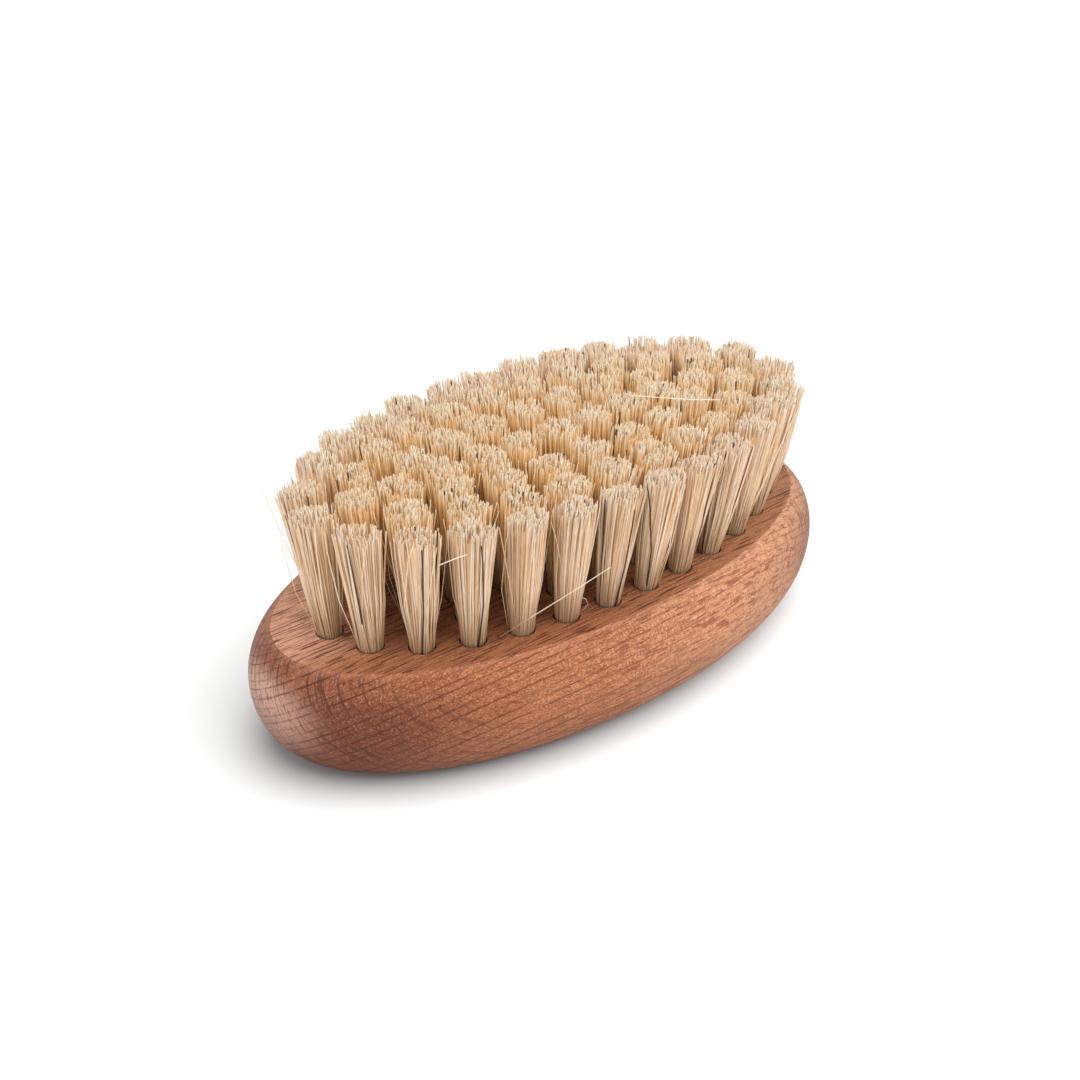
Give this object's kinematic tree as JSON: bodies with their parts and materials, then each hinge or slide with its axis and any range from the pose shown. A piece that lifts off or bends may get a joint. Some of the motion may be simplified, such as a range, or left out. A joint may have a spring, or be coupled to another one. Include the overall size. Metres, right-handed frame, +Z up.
{
  "type": "leather cleaning brush",
  "caption": "Oval beech brush without a handle: a flat-backed block with rings of natural bristle tufts, for cleaning leather.",
  "frame": {"origin": "middle of the block's flat back, on the surface that the brush lies on", "axes": "+X along the block's length, +Y across it, +Z up from the flat back to the bristle tips"},
  "size_m": [0.12, 0.064, 0.0447],
  "materials": {
    "beech": "sanded and lightly oiled",
    "bristle": "natural undyed bristle, trimmed level"
  },
  "bodies": {
    "root": {"block": "beech", "inner_tufts": "bristle", "outer_tuft_01": "bristle", "outer_tuft_02": "bristle", "outer_tuft_03": "bristle", "outer_tuft_04": "bristle", "outer_tuft_05": "bristle", "outer_tuft_06": "bristle", "outer_tuft_07": "bristle", "outer_tuft_08": "bristle", "outer_tuft_09": "bristle", "outer_tuft_10": "bristle", "outer_tuft_11": "bristle", "outer_tuft_12": "bristle", "outer_tuft_13": "bristle", "outer_tuft_14": "bristle", "outer_tuft_15": "bristle", "outer_tuft_16": "bristle", "outer_tuft_17": "bristle", "outer_tuft_18": "bristle", "outer_tuft_19": "bristle", "outer_tuft_20": "bristle", "outer_tuft_21": "bristle", "outer_tuft_22": "bristle", "outer_tuft_23": "bristle", "outer_tuft_24": "bristle", "outer_tuft_25": "bristle", "outer_tuft_26": "bristle", "outer_tuft_27": "bristle", "second_tuft_01": "bristle", "second_tuft_02": "bristle", "second_tuft_03": "bristle", "second_tuft_04": "bristle", "second_tuft_05": "bristle", "second_tuft_06": "bristle", "second_tuft_07": "bristle", "second_tuft_08": "bristle", "second_tuft_09": "bristle", "second_tuft_10": "bristle", "second_tuft_11": "bristle", "second_tuft_12": "bristle", "second_tuft_13": "bristle", "second_tuft_14": "bristle", "second_tuft_15": "bristle", "second_tuft_16": "bristle", "second_tuft_17": "bristle", "second_tuft_18": "bristle", "second_tuft_19": "bristle", "second_tuft_20": "bristle", "second_tuft_21": "bristle"}
  },
  "joints": []
}
